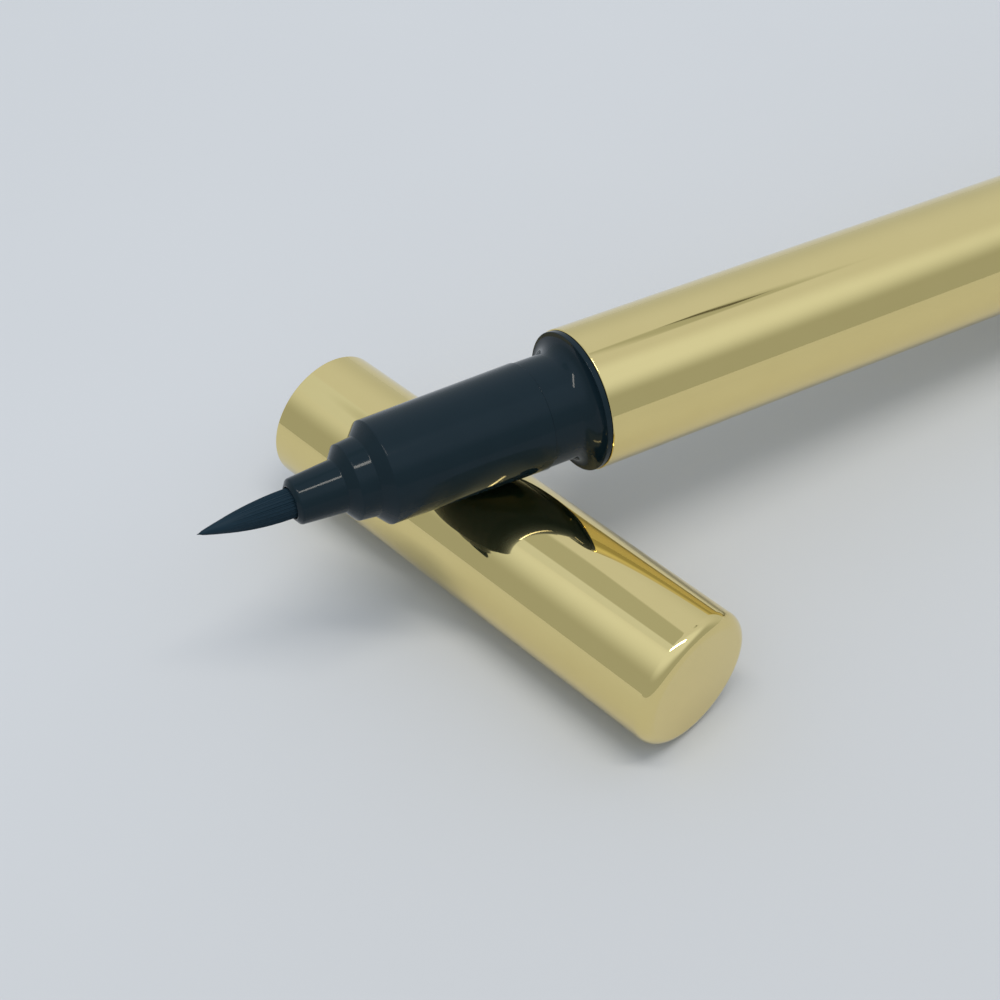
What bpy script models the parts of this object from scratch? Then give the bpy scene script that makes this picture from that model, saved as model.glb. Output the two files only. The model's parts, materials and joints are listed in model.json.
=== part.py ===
"""Liquid eyeliner pen with its cap taken off, the pen leaning across the cap. Metres, +Z up.

The cap lies on the table along Y, its closed end towards -Y. The pen runs roughly along X with its brush
towards -X: its front rests on the cap and its tail touches the table. The origin is the middle of the
whole footprint, at table height.

Heights in the pen's pieces run along the pen from the collar's front face, positive towards the brush.
Heights in the cap's pieces run along the cap from its mouth, positive towards the closed end. A capped pen
has both zeros together, so the two sets of heights can be read against each other.
"""

import math

import bmesh
import bpy
from mathutils import Matrix, Vector

# Outside of the barrel and the cap, which share one diameter
BODY_RADIUS = 0.00525
SHELL_WALL = 0.00045
EDGE_ROUND = 0.0006
LIP_ROUND = 0.00012
BARREL_LENGTH = 0.0945
CAP_END_WALL = 0.0006
PLUG_HEAD = 0.0012
PLUG_SPIGOT = 0.0035

# Clearances: FIT is per side between pushed-together pieces, SEAM is between faces that meet
FIT = 0.00015
SEAM = 0.00012
CAP_CLEARANCE = 0.00018
REST_GAP = 0.00015

# Ink tank and mixing ball
TANK_WALL = 0.0006
TANK_FLOOR = 0.0008
BALL_RADIUS = 0.0015
BALL_SEGMENTS = 14
BALL_RINGS = 9

# Collar: flange, neck and the spigot that plugs the tank
FLANGE_INSET = 0.00008
FLANGE_THICKNESS = 0.0004
CENTRING_LENGTH = 0.0012
SPIGOT_LENGTH = 0.0056
NECK_LENGTH = 0.0034
NECK_STEP = 0.00007
NECK_FLARE = 0.0004
NECK_WALL = 0.0006

# Nozzle: main cylinder, step and nose tube, each slightly narrower at its front
MAIN_LENGTH = 0.0119
MAIN_TAPER = 0.00024
MAIN_ROUND = 0.0003
MAIN_CHAMFER = 0.0008
STEP_RADIUS_SHARE = 0.718
STEP_LENGTH = 0.0013
STEP_TAPER = 0.00013
STEP_CHAMFER = 0.00065
NOSE_RADIUS = 0.00188
NOSE_LENGTH = 0.00295
NOSE_TAPER = 0.00026
MOUTH_ROUND = 0.0005
MOUTH_LIP = 0.00012
NOZZLE_WALL = 0.0005
NOZZLE_SPIGOT_DEPTH = 0.0047

# Collector and feed
COLLECTOR_FINS = 13
FIN_THICKNESS = 0.0005
FIN_END_ROOM = 0.0006
SLOT_WIDTH = 0.0003
COLLECTOR_WALL = 0.00045
COLLECTOR_FLANGE = 0.0008
COLLECTOR_TAIL = 0.0015
FEED_RADIUS = 0.0006
FEED_TAIL = 0.002

# Brush and its holder
HOLDER_FLANGE_WALL = 0.00085
HOLDER_FLANGE_LENGTH = 0.0012
BRUSH_RADIUS = 0.00105
BRUSH_REACH = 0.0066
BACKING_THICKNESS = 0.0006
BACKING_DEPTH = 0.0008
STRANDS = 320
STRAND_SINK = 0.0002
STRAND_FILL_SHARE = 0.40
BEND_SHARE = 0.46
FIRST_TIP_SHARE = 0.62
OGIVE_POWER = 2.0

# Cap inside: liner, seal cup and its spring
LINER_WALL = 0.0005
LINER_INSET = 0.0004
LEAD_IN = 0.0002
BEAD_HEIGHT = 0.00012
BEAD_LENGTH = 0.0012
LEDGE_LENGTH = 0.0008
SEAL_TRAVEL_CAPPED = 0.001
CUP_WALL = 0.0005
CUP_FLANGE_LENGTH = 0.0008
CUP_FLOOR = 0.0007
TIP_ROOM = 0.0008
BOSS_RADIUS = 0.0016
BOSS_HEIGHT = 0.001
SPRING_LENGTH = 0.0088
SPRING_WIRE_RADIUS = 0.0002
SPRING_TURNS = 6
POINTS_PER_TURN = 9

# How the two lie: the pen's turn from -X seen from above, and where its axis passes over the cap's
PEN_TURN = math.radians(14.74)
CROSSING_FROM_COLLAR = 0.00784
CROSSING_FROM_CAP_MIDDLE = 0.00188

# Facets round each piece
OUTER_STEPS = 32
INNER_STEPS = 24
SMALL_STEPS = 16
ROUND_POINTS = 4
SHARP_ANGLE = math.radians(35)
MERGE = 0.000001
LEAN_ROUNDS = 30

# Radii from the outside in
SHELL_BORE = BODY_RADIUS - SHELL_WALL
LINER_RADIUS = SHELL_BORE - FIT
LINER_BORE = LINER_RADIUS - LINER_WALL
NOZZLE_RADIUS = LINER_BORE - CAP_CLEARANCE
STEP_RADIUS = NOZZLE_RADIUS * STEP_RADIUS_SHARE
NECK_RADIUS = NOZZLE_RADIUS - NECK_STEP
COLLAR_BORE = NECK_RADIUS - NECK_WALL
NOZZLE_SPIGOT_RADIUS = COLLAR_BORE - FIT
NOZZLE_BORE = NOZZLE_SPIGOT_RADIUS - NOZZLE_WALL
FIN_RADIUS = NOZZLE_BORE - FIT
FEED_BORE = FEED_RADIUS + FIT
COLLECTOR_RADIUS = FEED_BORE + COLLECTOR_WALL
TANK_RADIUS = SHELL_BORE - FIT
TANK_BORE = TANK_RADIUS - TANK_WALL
COLLAR_SPIGOT_RADIUS = TANK_BORE - FIT
TIP_BORE = BRUSH_RADIUS + FIT / 2
HOLDER_RADIUS = BRUSH_RADIUS
HOLDER_FLANGE_RADIUS = HOLDER_RADIUS + HOLDER_FLANGE_WALL
HOLDER_BORE = HOLDER_FLANGE_RADIUS + FIT
CUP_BORE = STEP_RADIUS + CAP_CLEARANCE
CUP_RADIUS = CUP_BORE + CUP_WALL
LEDGE_BORE = CUP_RADIUS + FIT
CUP_FLANGE_RADIUS = LINER_BORE - FIT

# Heights along the pen, from the collar's front face
MAIN_START = NECK_LENGTH + SEAM
MAIN_END = MAIN_START + MAIN_LENGTH
STEP_START = MAIN_END + MAIN_CHAMFER
STEP_END = STEP_START + STEP_LENGTH
NOSE_START = STEP_END + STEP_CHAMFER
MOUTH = NOSE_START + NOSE_LENGTH + MOUTH_ROUND
BRUSH_END = MOUTH + BRUSH_REACH
SLEEVE_FRONT = -FLANGE_THICKNESS - SEAM
CENTRING_END = -FLANGE_THICKNESS - CENTRING_LENGTH
COLLAR_REAR = CENTRING_END - SPIGOT_LENGTH
TANK_FRONT = CENTRING_END - SEAM
SLEEVE_REAR = -BARREL_LENGTH + PLUG_HEAD + SEAM
PLUG_FRONT = -BARREL_LENGTH + PLUG_HEAD + PLUG_SPIGOT
TANK_REAR = PLUG_FRONT + SEAM
TANK_BOTTOM = TANK_REAR + TANK_FLOOR
NOZZLE_REAR = -NOZZLE_SPIGOT_DEPTH
HOLDER_SEAT = STEP_END - STEP_CHAMFER
COLLECTOR_FRONT = MAIN_END - FIT
COLLECTOR_SEAT = NOZZLE_REAR - SEAM
COLLECTOR_REAR = COLLECTOR_SEAT - COLLECTOR_FLANGE - COLLECTOR_TAIL
BACKING_FRONT = MOUTH - BACKING_DEPTH
BACKING_REAR = BACKING_FRONT - BACKING_THICKNESS
HOLDER_FRONT = BACKING_REAR - SEAM
HOLDER_FLANGE_FRONT = HOLDER_SEAT - SEAM
HOLDER_REAR = HOLDER_FLANGE_FRONT - HOLDER_FLANGE_LENGTH
FEED_FRONT = HOLDER_FRONT
FEED_REAR = COLLECTOR_REAR - FEED_TAIL
BALL_HEIGHT = TANK_BOTTOM + FIT + BALL_RADIUS
BALL_DROP = TANK_BORE - FIT - BALL_RADIUS

# Heights along the cap, from its mouth
CUP_MOUTH_CAPPED = STEP_START
CUP_MOUTH = CUP_MOUTH_CAPPED - SEAL_TRAVEL_CAPPED
LEDGE_START = CUP_MOUTH_CAPPED + FIT
LEDGE_END = LEDGE_START + LEDGE_LENGTH
CUP_FLANGE_START = LEDGE_END + SEAM
CUP_FLANGE_END = CUP_FLANGE_START + CUP_FLANGE_LENGTH
CUP_INSIDE_END = BRUSH_END + TIP_ROOM - SEAL_TRAVEL_CAPPED
CUP_END = CUP_INSIDE_END + CUP_FLOOR
CAP_INSIDE_END = CUP_END + SPRING_LENGTH
CAP_LENGTH = CAP_INSIDE_END + CAP_END_WALL
LINER_END = CAP_INSIDE_END - SEAM
BEAD_MIDDLE = NECK_LENGTH / 2


def nozzle_radius_at(height):
    """The main cylinder's radius at a height along the pen."""
    share = (height - MAIN_START) / MAIN_LENGTH
    return NOZZLE_RADIUS - MAIN_TAPER * share


def brush_radius_at(height):
    """The brush's outline, a parabola that narrows to a point."""
    share = (height - MOUTH) / BRUSH_REACH
    return BRUSH_RADIUS * (1 - share**OGIVE_POWER)


def lean():
    """The pen's tilt and its tail's height: the tail touches the table and the nozzle lies on the cap."""
    over_cap = BODY_RADIUS + REST_GAP + nozzle_radius_at(CROSSING_FROM_COLLAR)
    tilt = 0.0
    for _ in range(LEAN_ROUNDS):
        tail = (BODY_RADIUS - EDGE_ROUND) * math.cos(tilt) + EDGE_ROUND * (1 - math.sin(tilt))
        across = math.cos(tilt) * math.cos(PEN_TURN)
        rise = over_cap * math.hypot(math.sin(tilt), across) / across
        tilt = math.asin((BODY_RADIUS + rise - tail) / (BARREL_LENGTH + CROSSING_FROM_COLLAR))
    return tilt, tail


def circle_box(centre, normal, radius):
    """The lowest and highest corners of a circle's box."""
    half = Vector([radius * math.sqrt(max(0.0, 1 - part**2)) for part in normal])
    return centre - half, centre + half


def layout():
    """The places and directions of the collar and the cap's mouth, with the footprint's middle at zero."""
    tilt, tail = lean()
    flat = math.cos(tilt)
    pen = Vector((-flat * math.cos(PEN_TURN), flat * math.sin(PEN_TURN), math.sin(tilt)))
    crossing = Vector((0, CROSSING_FROM_CAP_MIDDLE, tail + (BARREL_LENGTH + CROSSING_FROM_COLLAR) * pen.z))
    collar = crossing - pen * CROSSING_FROM_COLLAR
    cap = Vector((0, -1, 0))
    mouth = Vector((0, CAP_LENGTH / 2, BODY_RADIUS))
    boxes = [
        circle_box(collar + pen * BRUSH_END, pen, 0),
        circle_box(collar, pen, BODY_RADIUS),
        circle_box(collar - pen * (BARREL_LENGTH - EDGE_ROUND), pen, BODY_RADIUS),
        circle_box(collar - pen * BARREL_LENGTH, pen, BODY_RADIUS - EDGE_ROUND),
        circle_box(mouth, cap, BODY_RADIUS),
        circle_box(mouth + cap * CAP_LENGTH, cap, BODY_RADIUS),
    ]
    low = Vector([min(box[0][axis] for box in boxes) for axis in range(3)])
    high = Vector([max(box[1][axis] for box in boxes) for axis in range(3)])
    middle = (low + high) / 2
    middle.z = 0
    return collar - middle, pen, mouth - middle, cap


def new_collection(name):
    """A collection in the scene."""
    collection = bpy.data.collections.new(name)
    bpy.context.scene.collection.children.link(collection)
    return collection


def new_material(name, colour, metallic, roughness):
    """A plain material with one colour."""
    material = bpy.data.materials.new(name)
    material.use_nodes = True
    shader = material.node_tree.nodes["Principled BSDF"]
    shader.inputs["Base Color"].default_value = (*colour, 1)
    shader.inputs["Metallic"].default_value = metallic
    shader.inputs["Roughness"].default_value = roughness
    return material


def new_frame(name, place, direction):
    """An empty whose own Z runs along a direction, with its Y as near to straight up as it can be."""
    frame = bpy.data.objects.new(name, None)
    frame.empty_display_size = BODY_RADIUS
    frame.location = place
    frame.rotation_euler = direction.to_track_quat("Z", "Y").to_euler()
    PARTS.objects.link(frame)
    return frame


def add_piece(name, mesh, material, frame):
    """An object in the parts' collection, carried by a frame."""
    mesh.materials.append(material)
    piece = bpy.data.objects.new(name, mesh)
    piece.parent = frame
    PARTS.objects.link(piece)
    return piece


def shade_round(piece):
    """Smooth shading with sharp edges kept."""
    piece.data.shade_smooth()
    piece.data.set_sharp_from_angle(angle=SHARP_ANGLE)


def apply_modifiers(piece):
    """Swaps an object's mesh for what its modifiers make of it."""
    bpy.context.view_layer.update()
    seen = piece.evaluated_get(bpy.context.evaluated_depsgraph_get())
    made = bpy.data.meshes.new_from_object(seen)
    made.name = piece.name
    piece.modifiers.clear()
    piece.data = made


def turned(name, outline, closed, steps, material, frame):
    """A turned piece. The outline runs down the outer side from the top, and back up the inside."""
    mesh = bpy.data.meshes.new(name)
    points = [(radius, 0, height) for radius, height in outline]
    edges = [(i, i + 1) for i in range(len(points) - 1)]
    if closed:
        edges.append((len(points) - 1, 0))
    mesh.from_pydata(points, edges, [])
    piece = add_piece(name, mesh, material, frame)
    screw = piece.modifiers.new("turn", "SCREW")
    screw.axis = "Z"
    screw.angle = math.tau
    screw.steps = screw.render_steps = steps
    screw.use_merge_vertices = True
    screw.merge_threshold = MERGE
    apply_modifiers(piece)
    shade_round(piece)
    return piece


def rounded(radius, height, size):
    """A rounded outer corner, from the face at this height to the side at this radius.

    The side runs up from the face where the size is positive, and down where it is negative.
    """
    points = []
    for step in range(ROUND_POINTS):
        angle = math.pi / 2 * step / (ROUND_POINTS - 1)
        points.append((radius - abs(size) * (1 - math.sin(angle)), height + size * (1 - math.cos(angle))))
    return points


def barrel_sleeve():
    """The gold tube, open at both ends, with a rounded lip against the collar."""
    lip = rounded(BODY_RADIUS, SLEEVE_FRONT, -LIP_ROUND)
    outline = [(SHELL_BORE, SLEEVE_FRONT), *lip, (BODY_RADIUS, SLEEVE_REAR), (SHELL_BORE, SLEEVE_REAR)]
    turned("barrel_sleeve", outline, True, OUTER_STEPS, GOLD, PEN)


def tail_plug():
    """The gold end: a rounded head outside the tube and a spigot inside it."""
    spigot = SHELL_BORE - FIT
    head = -BARREL_LENGTH + PLUG_HEAD
    edge = rounded(BODY_RADIUS, -BARREL_LENGTH, EDGE_ROUND)
    outline = [(0, PLUG_FRONT), (spigot, PLUG_FRONT), (spigot, head), (BODY_RADIUS, head)]
    turned("tail_plug", [*outline, *reversed(edge), (0, -BARREL_LENGTH)], False, OUTER_STEPS, GOLD, PEN)


def ink_tank():
    """The plastic tube that holds the liquid, closed at its rear."""
    outline = [(0, TANK_BOTTOM), (TANK_BORE, TANK_BOTTOM), (TANK_BORE, TANK_FRONT)]
    outline += [(TANK_RADIUS, TANK_FRONT), (TANK_RADIUS, TANK_REAR), (0, TANK_REAR)]
    turned("ink_tank", outline, False, INNER_STEPS, CLEAR, PEN)


def mixing_ball():
    """The steel ball, at the tank's rear on its lower side."""
    mesh = bpy.data.meshes.new("mixing_ball")
    shape = bmesh.new()
    place = Matrix.Translation((0, -BALL_DROP, BALL_HEIGHT))
    form = {"u_segments": BALL_SEGMENTS, "v_segments": BALL_RINGS, "radius": BALL_RADIUS}
    bmesh.ops.create_uvsphere(shape, matrix=place, **form)
    shape.to_mesh(mesh)
    shape.free()
    ball = add_piece("mixing_ball", mesh, STEEL, PEN)
    shade_round(ball)


def collar():
    """The black flange and neck, with a centring step in the sleeve and a spigot in the tank."""
    flange = BODY_RADIUS - FLANGE_INSET
    outline = [
        (NECK_RADIUS, NECK_LENGTH),
        (NECK_RADIUS, NECK_FLARE),
        (NECK_RADIUS + NECK_FLARE / 4, NECK_FLARE / 4),
        (NECK_RADIUS + NECK_FLARE, 0),
        (flange - LIP_ROUND, 0),
        (flange, -LIP_ROUND),
        (flange, -FLANGE_THICKNESS),
        (TANK_RADIUS, -FLANGE_THICKNESS),
        (TANK_RADIUS, CENTRING_END),
        (COLLAR_SPIGOT_RADIUS, CENTRING_END),
        (COLLAR_SPIGOT_RADIUS, COLLAR_REAR),
        (COLLAR_BORE, COLLAR_REAR),
        (COLLAR_BORE, NECK_LENGTH),
    ]
    turned("collar", outline, True, OUTER_STEPS, BLACK, PEN)


def nozzle():
    """The black front: spigot in the collar, main cylinder, step and nose tube, bored for what it holds."""
    nose_front = NOSE_RADIUS - NOSE_TAPER
    mouth_edge = TIP_BORE + MOUTH_LIP
    outline = [
        (mouth_edge, MOUTH),
        ((mouth_edge + 2 * nose_front) / 3, MOUTH - MOUTH_ROUND / 3),
        (nose_front, MOUTH - MOUTH_ROUND),
        (NOSE_RADIUS, NOSE_START),
        (STEP_RADIUS - STEP_TAPER, STEP_END),
        (STEP_RADIUS, STEP_START),
        (NOZZLE_RADIUS - MAIN_TAPER, MAIN_END),
        (NOZZLE_RADIUS, MAIN_START + MAIN_ROUND),
        (NOZZLE_RADIUS - MAIN_ROUND / 2, MAIN_START),
        (NOZZLE_SPIGOT_RADIUS, MAIN_START),
        (NOZZLE_SPIGOT_RADIUS, NOZZLE_REAR),
        (NOZZLE_BORE, NOZZLE_REAR),
        (NOZZLE_BORE, MAIN_END),
        (HOLDER_BORE, MAIN_END),
        (HOLDER_BORE, HOLDER_SEAT),
        (TIP_BORE, HOLDER_SEAT),
        (TIP_BORE, MOUTH),
    ]
    turned("nozzle", outline, True, OUTER_STEPS, BLACK, PEN)


def collector():
    """The comb: fins on a core tube with a slot across them, and a flange that seats behind the nozzle."""
    first = COLLECTOR_FRONT - FIN_END_ROOM
    last = COLLECTOR_SEAT + FIN_END_ROOM
    pitch = (first - last) / COLLECTOR_FINS
    outline = [(COLLECTOR_RADIUS, COLLECTOR_FRONT)]
    for fin in range(COLLECTOR_FINS):
        top = first - pitch * fin
        bottom = top - FIN_THICKNESS
        outline += [(COLLECTOR_RADIUS, top), (FIN_RADIUS, top)]
        outline += [(FIN_RADIUS, bottom), (COLLECTOR_RADIUS, bottom)]
    flange_rear = COLLECTOR_SEAT - COLLECTOR_FLANGE
    outline += [
        (COLLECTOR_RADIUS, COLLECTOR_SEAT),
        (NOZZLE_SPIGOT_RADIUS, COLLECTOR_SEAT),
        (NOZZLE_SPIGOT_RADIUS, flange_rear),
        (COLLECTOR_RADIUS, flange_rear),
        (COLLECTOR_RADIUS, COLLECTOR_REAR),
        (FEED_BORE, COLLECTOR_REAR),
        (FEED_BORE, COLLECTOR_FRONT),
    ]
    comb = turned("collector", outline, True, SMALL_STEPS, CLEAR, PEN)
    slot_floor = COLLECTOR_RADIUS - COLLECTOR_WALL / 2
    depth = FIN_RADIUS + SLOT_WIDTH - slot_floor
    length = first - last + FIN_END_ROOM
    place = Matrix.Translation((slot_floor + depth / 2, 0, (first + last) / 2))
    size = Matrix.Diagonal((depth, SLOT_WIDTH, length, 1))
    mesh = bpy.data.meshes.new("collector_slot")
    shape = bmesh.new()
    bmesh.ops.create_cube(shape, size=1, matrix=place @ size)
    shape.to_mesh(mesh)
    shape.free()
    cutter = bpy.data.objects.new("collector_slot", mesh)
    cutter.parent = PEN
    cutter.hide_render = True
    cutter.display_type = "WIRE"
    CUTTERS.objects.link(cutter)
    cut = comb.modifiers.new("slot", "BOOLEAN")
    cut.operation = "DIFFERENCE"
    cut.solver = "EXACT"
    cut.object = cutter


def feed_core():
    """The fibre rod from the tank to the brush."""
    mesh = bpy.data.meshes.new("feed_core")
    shape = bmesh.new()
    length = FEED_FRONT - FEED_REAR
    place = Matrix.Translation((0, 0, (FEED_FRONT + FEED_REAR) / 2))
    rod = {"segments": SMALL_STEPS, "radius1": FEED_RADIUS, "radius2": FEED_RADIUS, "depth": length}
    bmesh.ops.create_cone(shape, cap_ends=True, matrix=place, **rod)
    shape.to_mesh(mesh)
    shape.free()
    shade_round(add_piece("feed_core", mesh, FIBRE, PEN))


def brush_holder():
    """The flanged sleeve that carries the brush in the nose, with the feed core in its bore."""
    outline = [
        (HOLDER_RADIUS, HOLDER_FRONT),
        (HOLDER_RADIUS, HOLDER_FLANGE_FRONT),
        (HOLDER_FLANGE_RADIUS, HOLDER_FLANGE_FRONT),
        (HOLDER_FLANGE_RADIUS, HOLDER_REAR),
        (FEED_BORE, HOLDER_REAR),
        (FEED_BORE, HOLDER_FRONT),
    ]
    turned("brush_holder", outline, True, SMALL_STEPS, CLEAR, PEN)


def add_strand(shape, share, angle, width):
    """One three-sided strand: straight to its bend, then on to its own end on the brush's outline."""
    bend_height = MOUTH + BRUSH_REACH * BEND_SHARE
    end_height = BRUSH_END - BRUSH_REACH * (1 - FIRST_TIP_SHARE) * share
    root_height = BACKING_FRONT - STRAND_SINK
    across = Vector((math.cos(angle), math.sin(angle), 0))
    root = across * share * (BRUSH_RADIUS - width)
    squeeze = brush_radius_at(bend_height) / BRUSH_RADIUS
    shift = root * (squeeze - 1)
    place = Matrix.Translation(root + Vector((0, 0, (root_height + bend_height) / 2)))
    form = {"segments": 3, "radius1": width, "radius2": width * squeeze, "depth": bend_height - root_height}
    made = bmesh.ops.create_cone(shape, cap_ends=True, matrix=place, **form)["verts"]
    top = [vert for vert in made if vert.co.z > (root_height + bend_height) / 2]
    bmesh.ops.translate(shape, vec=shift, verts=top)
    cap = next(face for face in top[0].link_faces if set(face.verts) == set(top))
    end = bmesh.ops.poke(shape, faces=[cap])["verts"][0]
    end.co = across * brush_radius_at(end_height) * min(1, share / FIRST_TIP_SHARE)
    end.co.z = end_height


def brush_tip():
    """The brush: strands in a sunflower's spiral, fused to a thin round backing."""
    spacing = math.sqrt(math.pi / STRANDS) * BRUSH_RADIUS
    golden = math.pi * (3 - math.sqrt(5))
    mesh = bpy.data.meshes.new("brush_strands")
    shape = bmesh.new()
    for strand in range(STRANDS):
        share = math.sqrt((strand + 0.5) / STRANDS)
        add_strand(shape, share, strand * golden, spacing * STRAND_FILL_SHARE)
    shape.to_mesh(mesh)
    shape.free()
    strands = bpy.data.objects.new("brush_strands", mesh)
    strands.parent = PEN
    strands.hide_render = True
    strands.display_type = "WIRE"
    CUTTERS.objects.link(strands)
    backing = [(0, BACKING_FRONT), (BRUSH_RADIUS, BACKING_FRONT)]
    backing += [(BRUSH_RADIUS, BACKING_REAR), (0, BACKING_REAR)]
    tip = turned("brush_tip", backing, False, SMALL_STEPS, BRISTLE, PEN)
    fuse = tip.modifiers.new("fuse", "BOOLEAN")
    fuse.operation = "UNION"
    fuse.solver = "EXACT"
    fuse.object = strands


def cap_shell():
    """The gold cap, open at its mouth and closed flat at its end."""
    edge = rounded(BODY_RADIUS, CAP_LENGTH, -EDGE_ROUND)
    lip = rounded(BODY_RADIUS, 0, LIP_ROUND)
    outline = [(0, CAP_LENGTH), *edge, *reversed(lip)]
    outline += [(SHELL_BORE, 0), (SHELL_BORE, CAP_INSIDE_END), (0, CAP_INSIDE_END)]
    turned("cap_shell", outline, False, OUTER_STEPS, GOLD, CAP)


def cap_liner():
    """The plastic sleeve in the cap: a snap bead near the mouth and the ledge that stops the seal cup."""
    outline = [
        (LINER_RADIUS, LINER_END),
        (LINER_RADIUS, LINER_INSET),
        (LINER_BORE + LEAD_IN, LINER_INSET),
        (LINER_BORE, LINER_INSET + LEAD_IN),
        (LINER_BORE, BEAD_MIDDLE - BEAD_LENGTH / 2),
        (LINER_BORE - BEAD_HEIGHT, BEAD_MIDDLE),
        (LINER_BORE, BEAD_MIDDLE + BEAD_LENGTH / 2),
        (LINER_BORE, LEDGE_START),
        (LEDGE_BORE, LEDGE_START),
        (LEDGE_BORE, LEDGE_END),
        (LINER_BORE, LEDGE_END),
        (LINER_BORE, LINER_END),
    ]
    turned("cap_liner", outline, True, INNER_STEPS, CLEAR, CAP)


def seal_cup():
    """The inner cap that closes over the nose, with a flange behind the ledge and a boss for the spring."""
    outline = [
        (0, CUP_END + BOSS_HEIGHT),
        (BOSS_RADIUS, CUP_END + BOSS_HEIGHT),
        (BOSS_RADIUS, CUP_END),
        (CUP_RADIUS, CUP_END),
        (CUP_RADIUS, CUP_FLANGE_END),
        (CUP_FLANGE_RADIUS, CUP_FLANGE_END),
        (CUP_FLANGE_RADIUS, CUP_FLANGE_START),
        (CUP_RADIUS, CUP_FLANGE_START),
        (CUP_RADIUS, CUP_MOUTH),
        (CUP_BORE, CUP_MOUTH),
        (CUP_BORE, CUP_INSIDE_END),
        (0, CUP_INSIDE_END),
    ]
    turned("seal_cup", outline, False, INNER_STEPS, CLEAR, CAP)


def seal_spring():
    """The coil spring between the seal cup and the cap's closed end."""
    coil = BOSS_RADIUS + FIT + SPRING_WIRE_RADIUS
    start = CUP_END + SEAM + SPRING_WIRE_RADIUS
    rise = CAP_INSIDE_END - SEAM - SPRING_WIRE_RADIUS - start
    count = SPRING_TURNS * POINTS_PER_TURN
    points = []
    for step in range(count + 1):
        angle = math.tau * step / POINTS_PER_TURN
        points.append(Vector((coil * math.cos(angle), coil * math.sin(angle), start + rise * step / count)))
    curve = bpy.data.curves.new("seal_spring", "CURVE")
    curve.dimensions = "3D"
    curve.bevel_depth = SPRING_WIRE_RADIUS
    curve.bevel_resolution = 1
    curve.use_fill_caps = True
    spline = curve.splines.new("POLY")
    spline.points.add(count)
    for spot, point in zip(spline.points, points):
        spot.co = (*point, 1)
    add_piece("seal_spring", curve, STEEL, CAP)
    half_turn = POINTS_PER_TURN // 2
    pairs = [(a, b) for i, a in enumerate(points) for b in points[i + half_turn :]]
    gap = min((a - b).length for a, b in pairs) - 2 * SPRING_WIRE_RADIUS
    print(f"seal_spring: least gap between its turns {gap * 1000:.2f} mm")


for old in list(bpy.context.scene.objects):
    bpy.data.objects.remove(old)

PARTS = new_collection("liquid_eyeliner_pen")
CUTTERS = new_collection("cutters")
COLLAR_PLACE, PEN_WAY, MOUTH_PLACE, CAP_WAY = layout()
PEN = new_frame("pen_frame", COLLAR_PLACE, PEN_WAY)
CAP = new_frame("cap_frame", MOUTH_PLACE, CAP_WAY)

GOLD = new_material("gold_finish", (0.80, 0.68, 0.38), 1.0, 0.12)
BLACK = new_material("black_gloss", (0.012, 0.016, 0.022), 0.0, 0.18)
CLEAR = new_material("natural_plastic", (0.78, 0.80, 0.78), 0.0, 0.45)
STEEL = new_material("steel", (0.62, 0.62, 0.62), 1.0, 0.25)
FIBRE = new_material("feed_fibre", (0.05, 0.055, 0.06), 0.0, 0.9)
BRISTLE = new_material("brush_fibre", (0.016, 0.020, 0.026), 0.0, 0.5)

barrel_sleeve()
tail_plug()
ink_tank()
mixing_ball()
collar()
nozzle()
collector()
feed_core()
brush_holder()
brush_tip()
cap_shell()
cap_liner()
seal_cup()
seal_spring()
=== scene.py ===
"""The looks of a liquid eyeliner pen that leans across its own cap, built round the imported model.

Lengths are in metres, and +Z is up.
Heights in the pen's pieces run along the pen from the collar's front face, positive towards the brush.
Heights in the cap's pieces run along the cap from its mouth, positive towards the closed end.
"""

import json
import math

import bpy
from mathutils import Matrix, Vector


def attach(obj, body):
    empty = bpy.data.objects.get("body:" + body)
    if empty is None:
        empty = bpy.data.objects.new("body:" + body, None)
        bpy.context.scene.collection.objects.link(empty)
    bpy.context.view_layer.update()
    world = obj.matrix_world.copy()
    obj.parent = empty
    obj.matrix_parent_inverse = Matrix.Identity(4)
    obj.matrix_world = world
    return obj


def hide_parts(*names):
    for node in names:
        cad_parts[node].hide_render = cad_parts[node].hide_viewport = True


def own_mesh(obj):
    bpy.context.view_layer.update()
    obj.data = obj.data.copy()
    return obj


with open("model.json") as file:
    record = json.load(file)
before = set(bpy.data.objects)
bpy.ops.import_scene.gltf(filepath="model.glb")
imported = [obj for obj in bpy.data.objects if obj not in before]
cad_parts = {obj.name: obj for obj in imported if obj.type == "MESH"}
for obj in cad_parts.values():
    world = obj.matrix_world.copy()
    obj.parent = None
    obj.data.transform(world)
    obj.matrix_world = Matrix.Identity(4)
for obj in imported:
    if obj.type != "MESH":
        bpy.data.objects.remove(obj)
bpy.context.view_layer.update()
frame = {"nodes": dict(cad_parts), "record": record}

# Gold shells
SHELL_WALL = 0.00045
CAP_END_WALL = 0.0006
EDGE_ROUND = 0.0006
CAP_EDGE_ROUND = 0.001
LIP_ROUND = 0.00008
BORE_ROUND = 0.00008
PLUG_HEAD = 0.0012
PLUG_SPIGOT = 0.0035
FIT = 0.00015
SEAM = 0.00012
SLEEVE_SEAM = 0.00003

# Collar
FLANGE_INSET = 0.00008
FLANGE_THICKNESS = 0.0004
CENTRING_LENGTH = 0.0012
NECK_FLARE = 0.0012
NECK_WALL = 0.0006
NECK_STEP = 0.00007
FLANGE_ROUND = 0.00005
COLLAR_ROUND = 0.00003
TANK_WALL = 0.0006

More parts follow.
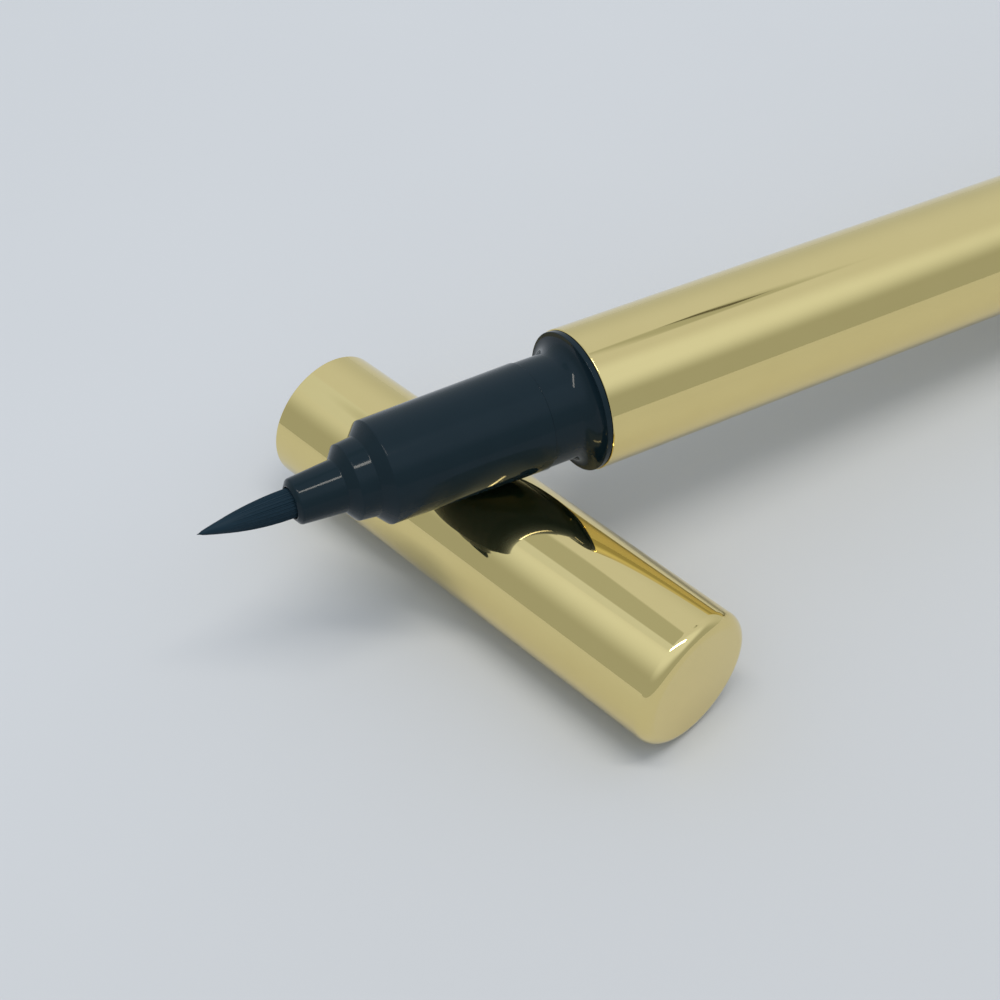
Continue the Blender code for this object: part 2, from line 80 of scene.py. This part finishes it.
# Nozzle
MAIN_LENGTH = 0.0119
MAIN_TAPER = 0.00024
MAIN_SEAM = 0.00002
MAIN_ROUND = 0.00003
MAIN_CHAMFER = 0.0008
STEP_RADIUS_SHARE = 0.718
STEP_LENGTH = 0.0013
STEP_TAPER = 0.00013
STEP_CHAMFER = 0.00065
NOSE_RADIUS = 0.00188
NOSE_TAPER = 0.00026
MOUTH_ROUND = 0.0005
MOUTH_LIP = 0.00012
NOZZLE_WALL = 0.0005
CHAMFER_ROUND = 0.00014
STEP_FILLET = 0.00012
RIM_ROUND = 0.00007
HOLDER_FLANGE_WALL = 0.00085

# Brush
BRUSH_RADIUS = 0.00105
BRUSH_REACH = 0.0066
BRUSH_ROOT = 0.0008
BRUSH_BEND = 0.00022
OGIVE_POWER = 2.0
STRANDS = 620
STRAND_RADIUS = 0.000058
STRAND_RINGS = 12
STRAND_SIDES = 5
FIRST_TIP_SHARE = 0.86
LONG_STRANDS_SHARE = 0.3
STAGGER_STEP = 7
STAGGER_COUNT = 11
THINNING_SHARE = 0.8
STRAND_SHARP_ANGLE = math.radians(80)
CORE_SHARE = 0.93
CORE_RINGS = 24
CORE_STEPS = 48
BRUSH_POINT = 0.00005

# Spring
SPRING_WIRE_RADIUS = 0.0002
SPRING_TURNS = 6
SPRING_TURN_POINTS = 48
SPRING_SIDES = 12
SPRING_SHARP_ANGLE = math.radians(60)

# Lathe
STEPS = 192
ARC_STEP = math.radians(9)
SHARP_ANGLE = math.radians(32)
NORMAL_WEIGHT = 100
ON_AXIS = 1e-9

# Finishes: colours, roughness, noise in waves per millimetre and the depth of the surface's unevenness
PER_MM = 1000
GOLD_COLOURS = ((0.81, 0.66, 0.285), (0.84, 0.69, 0.305))
GOLD_ROUGHNESS = (0.02, 0.05)
GOLD_HAZE = 0.35
GOLD_WAVES = 0.12
GOLD_STRETCH = (1, 1, 0.25)
GOLD_BUMP = 0.00001
BLACK_COLOURS = ((0.0065, 0.0165, 0.023), (0.0085, 0.0195, 0.027))
BLACK_ROUGHNESS = (0.06, 0.10)
BLACK_CLOUD = 0.5
BLACK_GRAIN = 9
BLACK_BUMP = 0.000001
BLACK_SPECULAR = 0.15
PLAIN_BUMP = 0.000002

# Camera: its place from the middle of the cap's foot on the table, and how far it looks below the level
CAMERA_PLACE = Vector((-0.052449, -0.059503, 0.095181))
CAMERA_HEADING = math.radians(48.35)
CAMERA_PITCH = math.radians(47.22)
CAMERA_ROLL = math.radians(-4.16)
CAMERA_LENS = 59.26
CAMERA_SENSOR = 36.0
CAMERA_CLIP = (0.005, 20)

# Table
TABLE_HALF = 0.35
# Painted shade: over this range of Y the table darkens from the back colours to the front ones
TABLE_SHADE_FADE = (-0.05, 0.06)
TABLE_FRONT_PAINTED_SHADE = ((0.555, 0.565, 0.575), (0.585, 0.595, 0.605))
TABLE_BACK = ((0.59, 0.605, 0.62), (0.62, 0.635, 0.65))
TABLE_ROUGHNESS = (0.55, 0.65)
TABLE_SPECULAR = 0.2
TABLE_CLOUD = 0.02

# Lamps, by where their ends hang: along the pen and across it from straight overhead, at one height
LAMP_HEIGHT = 1.0
LAMP_COLOUR = (1.0, 0.95, 0.86)
TUBE_ENDS = ((0.32, -0.10), (-0.30, 0.37))
TUBE_WIDTH = 0.10
TUBE_SHARE = 0.36
PANEL_ENDS = ((0.20, 0.26), (-0.15, 0.26))
PANEL_WIDTH = 0.30
PANEL_SHARE = 0.09

# The room's colours, by how bright each part is
WALL = (0.415, 0.45, 0.46)
BACK_WALL = (0.56, 0.60, 0.63)
CEILING = (0.66, 0.71, 0.80)
BRIGHT = (0.79, 0.87, 1.0)
HALF_BAY = (0.68, 0.75, 0.86)
BAY = (0.46, 0.50, 0.51)
STREAK = (0.12, 0.12, 0.10)

# Parts of the room by middle azimuth, half width, lowest and highest elevation and softness, in degrees.
# They were chosen to suit the photograph's reflections on the gold.
BACK_PART = (45, 75, None, None, 15)
ROOM_PARTS = [
    ((98, 24, 46, None, 2), HALF_BAY),
    ((76, 26, 54, 72, 2), BAY),
    ((6, 7, 48, 55, 2), BAY),
    ((9, 4, 49, 50.6, 0.5), STREAK),
]

# The front walls brighten from WALL_FOOT up, by the Z of the direction. Where they are at full brightness
# changes with its X: over the range WALL_TURN it goes from the first to the second Z of WALL_FULL.
WALL_FOOT = 0.36
WALL_TURN = (-0.2, 0.1)
WALL_FULL = (0.87, 0.70)

# The range of the direction's Z over which the walls behind turn into ceiling
BACK_RISE = (0.09, 0.67)

# The least level part of a direction, so that straight up has an azimuth too
LEAST_FLAT = 0.001


def reach(node, foot, way):
    """How a CAD node lies about a line: its least and greatest height along it, and its greatest radius."""
    arms = [vert.co - foot for vert in frame["nodes"][node].data.vertices]
    heights = [arm.dot(way) for arm in arms]
    radius = max((arm - way * height).length for arm, height in zip(arms, heights))
    return min(heights), max(heights), radius


MOUNTS = {mount["name"]: mount for mount in frame["record"]["mounts"]}
CAP_END = Vector(MOUNTS["cap_end_face"]["pos_m"])
CAP_WAY = Vector(MOUNTS["cap_end_face"]["axis"]).normalized()
PEN_TAIL = Vector(MOUNTS["tail_face"]["pos_m"])
PEN_WAY = -Vector(MOUNTS["tail_face"]["axis"]).normalized()

CAP_LENGTH = -reach("cap_shell", CAP_END, CAP_WAY)[0]
CAP_MOUTH = CAP_END - CAP_WAY * CAP_LENGTH
SLEEVE_REAR, SLEEVE_FRONT, BODY_RADIUS = reach("barrel_sleeve", PEN_TAIL, PEN_WAY)
BARREL_LENGTH = SLEEVE_FRONT + SEAM + FLANGE_THICKNESS
COLLAR = PEN_TAIL + PEN_WAY * BARREL_LENGTH

SHELL_BORE = BODY_RADIUS - SHELL_WALL
COLLAR_REAR, NECK_LENGTH, _ = reach("collar", COLLAR, PEN_WAY)
NOZZLE_REAR, MOUTH, NOZZLE_RADIUS = reach("nozzle", COLLAR, PEN_WAY)
STEP_RADIUS = NOZZLE_RADIUS * STEP_RADIUS_SHARE
NECK_RADIUS = NOZZLE_RADIUS - NECK_STEP
COLLAR_BORE = NECK_RADIUS - NECK_WALL
NOZZLE_SPIGOT_RADIUS = COLLAR_BORE - FIT
NOZZLE_BORE = NOZZLE_SPIGOT_RADIUS - NOZZLE_WALL
TANK_RADIUS = SHELL_BORE - FIT
TIP_BORE = BRUSH_RADIUS + FIT / 2
HOLDER_BORE = BRUSH_RADIUS + HOLDER_FLANGE_WALL + FIT
MAIN_START = NECK_LENGTH + MAIN_SEAM
MAIN_END = NECK_LENGTH + SEAM + MAIN_LENGTH
STEP_START = MAIN_END + MAIN_CHAMFER
STEP_END = STEP_START + STEP_LENGTH
NOSE_START = STEP_END + STEP_CHAMFER
HOLDER_SEAT = STEP_END - STEP_CHAMFER
BRUSH_END = MOUTH + BRUSH_REACH


def frame_matrix(place, way):
    """A place's matrix whose Z runs along a way, with its Y as near to straight up as it can be."""
    turn = way.to_track_quat("Z", "Y").to_matrix().to_4x4()
    return Matrix.Translation(place) @ turn


PEN = frame_matrix(COLLAR, PEN_WAY)
CAP = frame_matrix(CAP_MOUTH, CAP_WAY)


def rounded_outline(corners, closed):
    """An outline in which each corner, given as (radius, height, rounding), has become an arc."""
    points = [Vector((radius, height)) for radius, height, _ in corners]
    outline = []
    for i, (point, corner) in enumerate(zip(points, corners)):
        rounding = corner[2]
        at_end = not closed and i in (0, len(points) - 1)
        if rounding == 0 or at_end:
            outline.append(point)
            continue
        back = (points[i - 1] - point).normalized()
        on = (points[(i + 1) % len(points)] - point).normalized()
        half = back.angle(on) / 2
        centre = point + (back + on).normalized() * rounding / math.sin(half)
        first = point + back * rounding / math.tan(half) - centre
        last = point + on * rounding / math.tan(half) - centre
        sweep = first.angle(last)
        count = max(2, math.ceil(sweep / ARC_STEP))
        for step in range(count + 1):
            share = step / count
            low = math.sin((1 - share) * sweep) / math.sin(sweep)
            high = math.sin(share * sweep) / math.sin(sweep)
            outline.append(centre + first * low + last * high)
    return outline


def add_piece(name, mesh, place, material, body, nodes):
    """A piece of the object: placed, finished, carried by its body and standing for CAD nodes."""
    piece = bpy.data.objects.new(name, mesh)
    bpy.context.scene.collection.objects.link(piece)
    piece.matrix_world = place
    mesh.materials.append(material)
    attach(piece, body)
    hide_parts(*nodes)
    return piece


def turned_mesh(name, outline, closed, steps):
    """A turned mesh. A point of the outline on the axis becomes one vertex."""
    verts = []
    rings = []
    for radius, height in outline:
        if abs(radius) < ON_AXIS:
            rings.append([len(verts)] * steps)
            verts.append((0, 0, height))
            continue
        rings.append(list(range(len(verts), len(verts) + steps)))
        for step in range(steps):
            angle = math.tau * step / steps
            verts.append((radius * math.cos(angle), radius * math.sin(angle), height))
    pairs = list(zip(rings, rings[1:]))
    if closed:
        pairs.append((rings[-1], rings[0]))
    faces = []
    for upper, lower in pairs:
        for step in range(steps):
            on = (step + 1) % steps
            face = [upper[step], lower[step], lower[on], upper[on]]
            faces.append(list(dict.fromkeys(face)))
    mesh = bpy.data.meshes.new(name)
    mesh.from_pydata(verts, [], [face for face in faces if len(face) > 2])
    mesh.validate()
    return mesh


def turned(name, corners, closed, place, material, body, nodes):
    """A turned piece with smooth round sides. Its outline runs down the outer side from the top."""
    mesh = turned_mesh(name, rounded_outline(corners, closed), closed, STEPS)
    mesh.shade_smooth()
    mesh.set_sharp_from_angle(angle=SHARP_ANGLE)
    piece = add_piece(name, mesh, place, material, body, nodes)
    weighted = piece.modifiers.new("weighted_normals", "WEIGHTED_NORMAL")
    weighted.keep_sharp = True
    weighted.weight = NORMAL_WEIGHT


class Nodes:
    """A short way to write a material's nodes."""

    def __init__(self, tree):
        self.tree = tree

    def join(self, socket, value):
        """Joins an output to an input, or sets the input's own value. A colour needs no alpha."""
        if isinstance(value, bpy.types.NodeSocket):
            self.tree.links.new(value, socket)
        elif socket.type == "RGBA":
            socket.default_value = (*value[:3], 1)
        else:
            socket.default_value = value

    def add(self, kind, settings=(), numbered=(), **inputs):
        """A node with its settings and its inputs, given by number or by name."""
        node = self.tree.nodes.new(kind)
        for setting, value in settings:
            setattr(node, setting, value)
        for number, value in numbered:
            self.join(node.inputs[number], value)
        for name, value in inputs.items():
            self.join(node.inputs[name.replace("_", " ")], value)
        return node

    def math(self, operation, *values):
        """A math node's output."""
        return self.add("ShaderNodeMath", [("operation", operation)], enumerate(values)).outputs[0]

    def between(self, value, low, high):
        """0 up to low, 1 from high on, and smooth in between. Low may be the greater of the two."""
        smooth = [("interpolation_type", "SMOOTHSTEP")]
        return self.add("ShaderNodeMapRange", smooth, enumerate((value, low, high))).outputs[0]

    def noise(self, scale, detail, stretch=(1, 1, 1)):
        """Noise in the object's own coordinates, in waves per millimetre."""
        place = self.add("ShaderNodeTexCoord").outputs["Object"]
        size = [scale * PER_MM * part for part in stretch]
        place = self.add("ShaderNodeMapping", Vector=place, Scale=size).outputs[0]
        return self.add("ShaderNodeTexNoise", Vector=place, Scale=1.0, Detail=detail).outputs["Fac"]

    def mix(self, share, first, second):
        """A colour between two."""
        colours = [("data_type", "RGBA")]
        return self.add("ShaderNodeMix", colours, [(0, share), (6, first), (7, second)]).outputs[2]

    def spread(self, share, low, high):
        """A number between two."""
        return self.add("ShaderNodeMapRange", (), [(0, share), (3, low), (4, high)]).outputs[0]

    def bump(self, height, distance):
        """A bumped normal."""
        return self.add("ShaderNodeBump", Height=height, Distance=distance, Strength=1.0).outputs[0]


def new_material(name):
    """An empty material with its Principled shader."""
    material = bpy.data.materials.new(name)
    material.use_nodes = True
    return material, Nodes(material.node_tree), material.node_tree.nodes["Principled BSDF"]


def gold_material():
    """Mirror-like pale gold, with faint haze and the slight waviness of drawn metal."""
    material, nodes, shader = new_material("gold_finish")
    haze = nodes.noise(GOLD_HAZE, 3)
    waves = nodes.noise(GOLD_WAVES, 1, GOLD_STRETCH)
    nodes.join(shader.inputs["Base Color"], nodes.mix(haze, *GOLD_COLOURS))
    nodes.join(shader.inputs["Metallic"], 1.0)
    nodes.join(shader.inputs["Roughness"], nodes.spread(haze, *GOLD_ROUGHNESS))
    nodes.join(shader.inputs["Normal"], nodes.bump(waves, GOLD_BUMP))
    return material


def black_material():
    """Glossy black moulded plastic with a bluish sheen."""
    material, nodes, shader = new_material("black_gloss")
    cloud = nodes.noise(BLACK_CLOUD, 3)
    grain = nodes.noise(BLACK_GRAIN, 2)
    nodes.join(shader.inputs["Base Color"], nodes.mix(cloud, *BLACK_COLOURS))
    nodes.join(shader.inputs["Roughness"], nodes.spread(cloud, *BLACK_ROUGHNESS))
    nodes.join(shader.inputs["Normal"], nodes.bump(grain, BLACK_BUMP))
    nodes.join(shader.inputs["Specular IOR Level"], BLACK_SPECULAR)
    return material


def plain_material(name, light, dark, scale, rough, metallic=0.0, stretch=(1, 1, 1), specular=0.5):
    """A material whose colour, roughness and surface vary with one noise."""
    material, nodes, shader = new_material(name)
    cloud = nodes.noise(scale, 3, stretch)
    nodes.join(shader.inputs["Base Color"], nodes.mix(cloud, dark, light))
    nodes.join(shader.inputs["Roughness"], nodes.spread(cloud, *rough))
    nodes.join(shader.inputs["Normal"], nodes.bump(cloud, PLAIN_BUMP))
    nodes.join(shader.inputs["Metallic"], metallic)
    nodes.join(shader.inputs["Specular IOR Level"], specular)
    return material


def cap_shell():
    """The gold cap, with a rounded closed end and a rolled lip at its mouth."""
    inside = CAP_LENGTH - CAP_END_WALL
    corners = [
        (0, CAP_LENGTH, 0),
        (BODY_RADIUS, CAP_LENGTH, CAP_EDGE_ROUND),
        (BODY_RADIUS, 0, LIP_ROUND),
        (SHELL_BORE, 0, BORE_ROUND),
        (SHELL_BORE, inside, EDGE_ROUND / 2),
        (0, inside, 0),
    ]
    turned("gold_cap", corners, False, CAP, GOLD, "cap", ["cap_shell"])


def barrel_sleeve():
    """The gold tube, rolled at its front edge."""
    front = -FLANGE_THICKNESS - SLEEVE_SEAM
    rear = SLEEVE_REAR - BARREL_LENGTH
    corners = [
        (SHELL_BORE, front, BORE_ROUND),
        (BODY_RADIUS, front, LIP_ROUND),
        (BODY_RADIUS, rear, BORE_ROUND),
        (SHELL_BORE, rear, BORE_ROUND),
    ]
    turned("gold_barrel", corners, True, PEN, GOLD, "pen", ["barrel_sleeve"])


def tail_plug():
    """The gold end of the barrel, with its spigot in the tube."""
    spigot = SHELL_BORE - FIT
    head = -BARREL_LENGTH + PLUG_HEAD
    corners = [
        (0, head + PLUG_SPIGOT, 0),
        (spigot, head + PLUG_SPIGOT, BORE_ROUND),
        (spigot, head, 0),
        (BODY_RADIUS, head, BORE_ROUND),
        (BODY_RADIUS, -BARREL_LENGTH, EDGE_ROUND),
        (0, -BARREL_LENGTH, 0),
    ]
    turned("gold_tail", corners, False, PEN, GOLD, "pen", ["tail_plug"])


def collar():
    """The black collar: a thin flange, and a neck that flares into it."""
    flange = BODY_RADIUS - FLANGE_INSET
    centring = -FLANGE_THICKNESS - CENTRING_LENGTH
    spigot = TANK_RADIUS - TANK_WALL - FIT
    corners = [
        (NECK_RADIUS, NECK_LENGTH, COLLAR_ROUND),
        (NECK_RADIUS, 0, NECK_FLARE),
        (flange, 0, FLANGE_ROUND),
        (flange, -FLANGE_THICKNESS, COLLAR_ROUND),
        (TANK_RADIUS, -FLANGE_THICKNESS, COLLAR_ROUND),
        (TANK_RADIUS, centring, COLLAR_ROUND),
        (spigot, centring, COLLAR_ROUND),
        (spigot, COLLAR_REAR, COLLAR_ROUND),
        (COLLAR_BORE, COLLAR_REAR, COLLAR_ROUND),
        (COLLAR_BORE, NECK_LENGTH, COLLAR_ROUND),
    ]
    turned("black_collar", corners, True, PEN, BLACK, "pen", ["collar"])


def nozzle():
    """The black front: main cylinder, step and nose tube, with soft edges where each ends."""
    nose_front = NOSE_RADIUS - NOSE_TAPER
    corners = [
        (TIP_BORE + MOUTH_LIP, MOUTH, RIM_ROUND),
        (nose_front, MOUTH - MOUTH_ROUND / 2, MOUTH_ROUND / 2),
        (NOSE_RADIUS, NOSE_START, STEP_FILLET),
        (STEP_RADIUS - STEP_TAPER, STEP_END, CHAMFER_ROUND),
        (STEP_RADIUS, STEP_START, STEP_FILLET),
        (NOZZLE_RADIUS - MAIN_TAPER, MAIN_END, CHAMFER_ROUND),
        (NOZZLE_RADIUS, MAIN_START, MAIN_ROUND),
        (NOZZLE_SPIGOT_RADIUS, MAIN_START, 0),
        (NOZZLE_SPIGOT_RADIUS, NOZZLE_REAR, RIM_ROUND),
        (NOZZLE_BORE, NOZZLE_REAR, RIM_ROUND),
        (NOZZLE_BORE, MAIN_END, RIM_ROUND),
        (HOLDER_BORE, MAIN_END, RIM_ROUND),
        (HOLDER_BORE, HOLDER_SEAT, RIM_ROUND),
        (TIP_BORE, HOLDER_SEAT, RIM_ROUND),
        (TIP_BORE, MOUTH, RIM_ROUND),
    ]
    turned("black_nozzle", corners, True, PEN, BLACK, "pen", ["nozzle"])


def brush_radius_at(height):
    """The brush's outline, a parabola that narrows to a point."""
    share = max(0.0, (height - MOUTH) / BRUSH_REACH)
    return BRUSH_RADIUS * (1 - share**OGIVE_POWER) + BRUSH_POINT * share


def brush_middle_at(height):
    """How far the brush's middle has bent up at a height."""
    share = max(0.0, (height - MOUTH) / BRUSH_REACH)
    return BRUSH_BEND * share**2


def brush():
    """The brush: tapered strands round a close core, drawn to a point by the liquid."""
    verts = []
    faces = []
    root = MOUTH - BRUSH_ROOT
    golden = math.pi * (3 - math.sqrt(5))
    for strand in range(STRANDS):
        share = math.sqrt((strand + 0.5) / STRANDS)
        angle = golden * strand
        # Only the outer strands end short of the point, by lengths taken in turn
        outer = max(0.0, share - LONG_STRANDS_SHARE)
        stagger = strand * STAGGER_STEP % STAGGER_COUNT
        end = BRUSH_END - BRUSH_REACH * (1 - FIRST_TIP_SHARE) * outer * stagger / STAGGER_COUNT
        rings = []
        for ring in range(STRAND_RINGS + 1):
            along = ring / STRAND_RINGS
            height = root + (end - root) * along
            reach_out = share * (brush_radius_at(height) - STRAND_RADIUS)
            middle = Vector((math.cos(angle), math.sin(angle), 0)) * max(0.0, reach_out)
            middle += Vector((0, brush_middle_at(height), height))
            width = STRAND_RADIUS * (1 - THINNING_SHARE * along**2)
            rings.append(list(range(len(verts), len(verts) + STRAND_SIDES)))
            for side in range(STRAND_SIDES):
                turn = angle + math.tau * side / STRAND_SIDES
                verts.append(middle + Vector((math.cos(turn), math.sin(turn), 0)) * width)
        for lower, upper in zip(rings, rings[1:]):
            for side in range(STRAND_SIDES):
                on = (side + 1) % STRAND_SIDES
                faces.append([lower[side], lower[on], upper[on], upper[side]])
        faces.append(rings[-1])
        faces.append(list(reversed(rings[0])))
    mesh = bpy.data.meshes.new("brush_strands")
    mesh.from_pydata(verts, [], faces)
    mesh.shade_smooth()
    mesh.set_sharp_from_angle(angle=STRAND_SHARP_ANGLE)
    add_piece("brush_strands", mesh, PEN, BRISTLE, "pen", ["brush_tip"])

    outline = [(0, BRUSH_END - STRAND_RADIUS)]
    for ring in reversed(range(CORE_RINGS)):
        height = root + (BRUSH_END - STRAND_RADIUS - root) * ring / CORE_RINGS
        outline.append((brush_radius_at(height) * CORE_SHARE, height))
    outline.append((0, root))
    core = turned_mesh("brush_core", outline, False, CORE_STEPS)
    for vert in core.vertices:
        vert.co.y += brush_middle_at(vert.co.z)
    core.shade_smooth()
    core.set_sharp_from_angle(angle=SHARP_ANGLE)
    add_piece("brush_core", core, PEN, BRISTLE, "pen", ["brush_tip"])


def seal_spring():
    """The coil spring behind the seal cup, built at the imported spring's length. The real one shortens
    towards the closed end as the cup moves in.
    """
    low, high, radius = reach("seal_spring", CAP_MOUTH, CAP_WAY)
    coil = radius - SPRING_WIRE_RADIUS
    rise = high - low - 2 * SPRING_WIRE_RADIUS
    count = SPRING_TURNS * SPRING_TURN_POINTS
    verts = []
    faces = []
    for step in range(count + 1):
        angle = math.tau * step / SPRING_TURN_POINTS
        out = Vector((math.cos(angle), math.sin(angle), 0))
        middle = out * coil + Vector((0, 0, low + SPRING_WIRE_RADIUS + rise * step / count))
        run = Vector((-math.sin(angle), math.cos(angle), 0)) * coil * math.tau * SPRING_TURNS
        across = (run + Vector((0, 0, rise))).normalized().cross(out)
        for side in range(SPRING_SIDES):
            turn = math.tau * side / SPRING_SIDES
            verts.append(middle + (out * math.cos(turn) + across * math.sin(turn)) * SPRING_WIRE_RADIUS)
    for step in range(count):
        for side in range(SPRING_SIDES):
            first = step * SPRING_SIDES + side
            on = step * SPRING_SIDES + (side + 1) % SPRING_SIDES
            faces.append([first, on, on + SPRING_SIDES, first + SPRING_SIDES])
    faces.append(list(reversed(range(SPRING_SIDES))))
    faces.append(list(range(count * SPRING_SIDES, (count + 1) * SPRING_SIDES)))
    mesh = bpy.data.meshes.new("seal_spring_coil")
    mesh.from_pydata(verts, [], faces)
    mesh.shade_smooth()
    mesh.set_sharp_from_angle(angle=SPRING_SHARP_ANGLE)
    spring = add_piece("seal_spring_coil", mesh, CAP, STEEL, "cap", ["seal_spring"])
    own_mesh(spring)


GOLD = gold_material()
BLACK = black_material()
MILKY = plain_material(
    "natural_plastic",
    light=(0.80, 0.82, 0.80),
    dark=(0.72, 0.74, 0.72),
    scale=0.6,
    rough=(0.35, 0.5),
)
STEEL = plain_material(
    "steel",
    light=(0.66, 0.66, 0.66),
    dark=(0.55, 0.55, 0.56),
    scale=2.0,
    rough=(0.15, 0.3),
    metallic=1.0,
)
FIBRE = plain_material(
    "feed_fibre",
    light=(0.06, 0.065, 0.07),
    dark=(0.03, 0.033, 0.037),
    scale=6.0,
    rough=(0.8, 0.95),
    stretch=(1, 1, 0.1),
)
BRISTLE = plain_material(
    "brush_fibre",
    light=(0.009, 0.027, 0.043),
    dark=(0.006, 0.021, 0.034),
    scale=8.0,
    rough=(0.5, 0.65),
    stretch=(1, 1, 0.08),
    specular=0.15,
)

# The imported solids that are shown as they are, with their materials
CARRIED = {
    "ink_tank": MILKY,
    "mixing_ball": STEEL,
    "collector": MILKY,
    "feed_core": FIBRE,
    "brush_holder": MILKY,
    "cap_liner": MILKY,
    "seal_cup": MILKY,
}
for node, material in CARRIED.items():
    mesh = frame["nodes"][node].data
    mesh.materials.clear()
    mesh.materials.append(material)

cap_shell()
barrel_sleeve()
tail_plug()
collar()
nozzle()
brush()
seal_spring()


def add_floor():
    """A pale table with soft cloudy patches, and painted shade that makes it a little darker towards the
    front.
    """
    material, nodes, shader = new_material("pale_table")
    cloud = nodes.noise(TABLE_CLOUD, 3)
    place = nodes.add("ShaderNodeTexCoord").outputs["Object"]
    # Painted shade: the table's colour darkens towards the front
    back = nodes.between(nodes.add("ShaderNodeSeparateXYZ", Vector=place).outputs[1], *TABLE_SHADE_FADE)
    colour = nodes.mix(back, nodes.mix(cloud, *TABLE_FRONT_PAINTED_SHADE), nodes.mix(cloud, *TABLE_BACK))
    nodes.join(shader.inputs["Base Color"], colour)
    nodes.join(shader.inputs["Roughness"], nodes.spread(cloud, *TABLE_ROUGHNESS))
    nodes.join(shader.inputs["Specular IOR Level"], TABLE_SPECULAR)
    mesh = bpy.data.meshes.new("table")
    half = TABLE_HALF
    corners = [(-half, -half, 0), (half, -half, 0), (half, half, 0), (-half, half, 0)]
    mesh.from_pydata(corners, [], [(0, 1, 2, 3)])
    mesh.materials.append(material)
    table = bpy.data.objects.new("table", mesh)
    bpy.context.scene.collection.objects.link(table)


def sky_patch(nodes, way, azimuth, width, low, high, soft):
    """A soft-edged part of the sky, in degrees. A low or a high of None leaves that end open."""
    x, y, z = way
    turn = math.radians(azimuth)
    ahead = nodes.math("MULTIPLY_ADD", x, math.cos(turn), nodes.math("MULTIPLY", y, math.sin(turn)))
    flat = nodes.math("SQRT", nodes.math("MULTIPLY_ADD", x, x, nodes.math("MULTIPLY", y, y)))
    facing = nodes.math("DIVIDE", ahead, nodes.math("MAXIMUM", flat, LEAST_FLAT))
    patch = nodes.between(facing, math.cos(math.radians(width + soft)), math.cos(math.radians(width - soft)))
    if low is not None:
        rise = nodes.between(z, math.sin(math.radians(low - soft)), math.sin(math.radians(low + soft)))
        patch = nodes.math("MULTIPLY", patch, rise)
    if high is not None:
        fall = nodes.between(z, math.sin(math.radians(high + soft)), math.sin(math.radians(high - soft)))
        patch = nodes.math("MULTIPLY", patch, fall)
    return patch


def add_world():
    """A soft room: grey walls in front that brighten upwards, paler ones behind, dimmer ceiling bays."""
    world = bpy.data.worlds.new("room")
    bpy.context.scene.world = world
    world.use_nodes = True
    nodes = Nodes(world.node_tree)
    direction = nodes.add("ShaderNodeTexCoord").outputs["Generated"]
    way = nodes.add("ShaderNodeSeparateXYZ", Vector=direction).outputs
    full = nodes.add("ShaderNodeMapRange", (), enumerate((way[0], *WALL_TURN, *WALL_FULL))).outputs[0]
    front = nodes.mix(nodes.between(way[2], WALL_FOOT, full), WALL, BRIGHT)
    back = nodes.mix(nodes.between(way[2], *BACK_RISE), BACK_WALL, CEILING)
    colour = nodes.mix(sky_patch(nodes, way, *BACK_PART), front, back)
    for part, part_colour in ROOM_PARTS:
        colour = nodes.mix(sky_patch(nodes, way, *part), colour, part_colour)
    sky = world.node_tree.nodes["Background"]
    nodes.join(sky.inputs["Color"], colour)
    sky.inputs["Strength"].default_value = 1.0


def add_lamp(name, ends, width, share):
    """A flat ceiling light between two ends. Its share is what it gives of a white table's brightness."""
    ahead = Vector((PEN_WAY.x, PEN_WAY.y, 0)).normalized()
    side = Vector((-ahead.y, ahead.x, 0))
    first, last = [ahead * along + side * across for along, across in ends]
    run = last - first
    data = bpy.data.lights.new(name, "AREA")
    data.shape = "RECTANGLE"
    data.size = run.length
    data.size_y = width
    data.energy = share * math.pi**2 * LAMP_HEIGHT**2
    data.color = LAMP_COLOUR
    lamp = bpy.data.objects.new(name, data)
    bpy.context.scene.collection.objects.link(lamp)
    place = Matrix.Translation((first + last) / 2 + Vector((0, 0, LAMP_HEIGHT)))
    lamp.matrix_world = place @ Matrix.Rotation(math.atan2(run.y, run.x), 4, "Z")
    return lamp


def add_camera():
    """The photograph's view."""
    data = bpy.data.cameras.new("camera")
    data.lens = CAMERA_LENS
    data.sensor_width = CAMERA_SENSOR
    data.clip_start, data.clip_end = CAMERA_CLIP
    camera = bpy.data.objects.new("camera", data)
    bpy.context.scene.collection.objects.link(camera)
    foot = (CAP_MOUTH + CAP_END) / 2
    foot.z = 0
    turn = Matrix.Rotation(CAMERA_HEADING - math.pi / 2, 4, "Z")
    turn = turn @ Matrix.Rotation(math.pi / 2 - CAMERA_PITCH, 4, "X") @ Matrix.Rotation(CAMERA_ROLL, 4, "Z")
    camera.matrix_world = Matrix.Translation(foot + CAMERA_PLACE) @ turn
    bpy.context.scene.camera = camera


add_camera()
add_floor()
add_world()
add_lamp("ceiling_tube", TUBE_ENDS, TUBE_WIDTH, TUBE_SHARE)
panel = add_lamp("ceiling_panel", PANEL_ENDS, PANEL_WIDTH, PANEL_SHARE)

# No shiny surface mirrors the panel
panel.visible_glossy = False
bpy.context.scene.view_settings.view_transform = "Standard"
